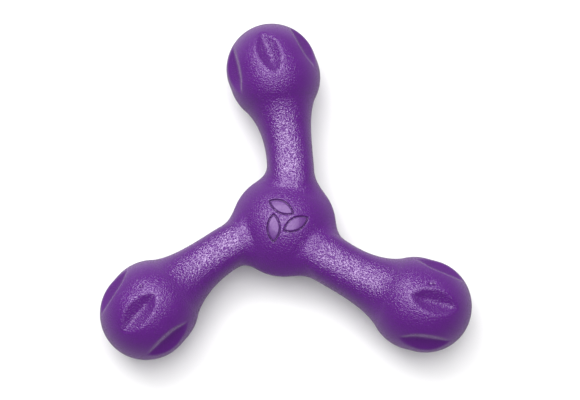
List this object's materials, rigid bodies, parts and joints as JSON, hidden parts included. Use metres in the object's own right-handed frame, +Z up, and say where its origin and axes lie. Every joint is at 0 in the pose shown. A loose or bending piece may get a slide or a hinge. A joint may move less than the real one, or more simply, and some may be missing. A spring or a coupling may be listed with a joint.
{
  "type": "three-armed throwing toy",
  "caption": "Soft foamed-elastomer throwing and tug toy for a dog: a lens-shaped hub with bowed arms that end in leaf-grooved ball lobes and flex at their necks.",
  "frame": {"origin": "centre of the hub on the parting plane", "axes": "+Z up out of the hub's crown, square to the parting plane; +Y close to the first arm; +X across the widest span"},
  "size_m": [0.2144, 0.1996, 0.0528],
  "materials": {
    "skin": "satin purple elastomer with a fine moulded stipple",
    "core": "matte closed-cell foam of the same elastomer"
  },
  "bodies": {
    "hub": {"hub_skin": "skin", "hub_core": "core"},
    "arm_a": {"arm_a_skin": "skin", "arm_a_core": "core"},
    "arm_b": {"arm_b_skin": "skin", "arm_b_core": "core"},
    "arm_c": {"arm_c_skin": "skin", "arm_c_core": "core"}
  },
  "joints": [
    {"name": "arm_a_flex", "type": "hinge", "parent": "hub", "child": "arm_a", "pos_m": [0.00353, 0.04128, 0], "axis": [0.9982, 0.0593, 0], "range_deg": [-25, 25], "stiffness_Nm_per_rad": 2.4},
    {"name": "arm_b_flex", "type": "hinge", "parent": "hub", "child": "arm_b", "pos_m": [-0.03788, -0.01679, 0], "axis": [-0.5329, 0.8462, 0], "range_deg": [-25, 25], "stiffness_Nm_per_rad": 2.4},
    {"name": "arm_c_flex", "type": "hinge", "parent": "hub", "child": "arm_c", "pos_m": [0.03202, -0.02629, 0], "axis": [-0.5165, -0.8563, 0], "range_deg": [-25, 25], "stiffness_Nm_per_rad": 2.4}
  ]
}
